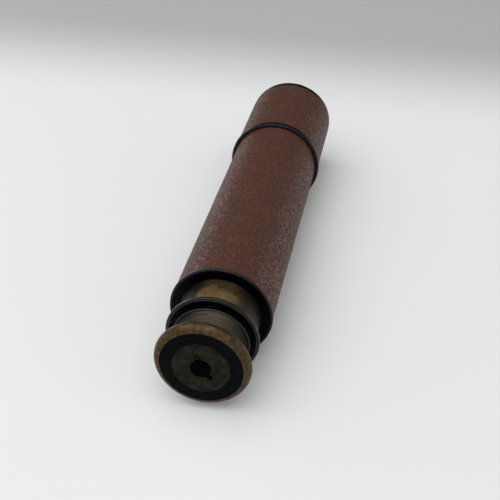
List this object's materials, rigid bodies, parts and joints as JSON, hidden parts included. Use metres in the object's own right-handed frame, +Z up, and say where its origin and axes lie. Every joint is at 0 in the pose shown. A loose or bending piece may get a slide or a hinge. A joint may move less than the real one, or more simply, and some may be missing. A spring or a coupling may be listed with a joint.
{
  "type": "draw telescope",
  "caption": "Hand telescope with a leather-covered body, sliding sunshade, nested draw tubes and a flared eye cup with a swinging eye shutter.",
  "frame": {"origin": "middle of the length, under the lowest point of the lying telescope", "axes": "+Y along the optical axis from the eye cup to the objective, +Z up, +X to the right as seen from the eye end"},
  "size_m": [0.0632, 0.2988, 0.0632],
  "materials": {
    "leather": "reddish-brown pebble-grained leather, waxed, lighter glints on the grain",
    "blackened_brass": "chemically blackened brass, edges rubbed grey",
    "rim_brass": "dark olive-brown tarnished brass",
    "draw_brass": "aged drawn brass, lacquer worn, dark stains",
    "cup_brass": "handled brass with a blackened face, worn golden on the bead",
    "disc_bronze": "dull bronze-grey patina with brown patches",
    "inner_black": "brass with dead black lacquer against stray light",
    "bush_brass": "bare turned brass",
    "optical_glass": "polished optical glass"
  },
  "bodies": {
    "barrel": {"body_tube": "draw_brass", "body_leather": "leather", "body_collar": "blackened_brass", "body_spring_bush": "bush_brass", "objective_cell": "inner_black", "objective_crown_lens": "optical_glass", "objective_flint_lens": "optical_glass", "objective_retaining_ring": "inner_black"},
    "sunshade": {"sunshade_tube": "inner_black", "sunshade_leather": "leather", "sunshade_rear_ring": "blackened_brass", "sunshade_front_rim": "rim_brass"},
    "large_draw": {"large_draw_tube": "draw_brass", "large_draw_collar": "blackened_brass", "large_draw_spring_bush": "bush_brass", "large_draw_guide_ring": "bush_brass", "large_draw_stop": "inner_black"},
    "small_draw": {"small_draw_tube": "draw_brass", "small_draw_guide_ring": "bush_brass", "erector_tube": "inner_black", "erector_front_cell": "inner_black", "erector_front_lens": "optical_glass", "erector_stop": "inner_black", "erector_rear_cell": "inner_black", "erector_rear_lens": "optical_glass", "eyepiece_tube": "inner_black", "field_lens_cell": "inner_black", "field_lens": "optical_glass", "field_stop": "inner_black", "eye_lens_cell": "inner_black", "eye_lens": "optical_glass", "eye_cup": "cup_brass", "eye_disc": "disc_bronze", "shutter_pivot_pin": "disc_bronze"},
    "eye_shutter": {"eye_shutter": "disc_bronze", "shutter_knob": "disc_bronze"}
  },
  "joints": [
    {"name": "sunshade_slide", "type": "slide", "parent": "barrel", "child": "sunshade", "axis": [0, 1, 0], "range_m": [0, 0.057]},
    {"name": "large_draw_slide", "type": "slide", "parent": "barrel", "child": "large_draw", "axis": [0, -1, 0], "range_m": [-0.019, 0.171]},
    {"name": "small_draw_slide", "type": "slide", "parent": "large_draw", "child": "small_draw", "axis": [0, -1, 0], "range_m": [-0.0085, 0.159]},
    {"name": "shutter_swing", "type": "hinge", "parent": "small_draw", "child": "eye_shutter", "pos_m": [0.01288, -0.147, 0.03848], "axis": [0, -1, 0], "range_deg": [0, 58.4]}
  ]
}
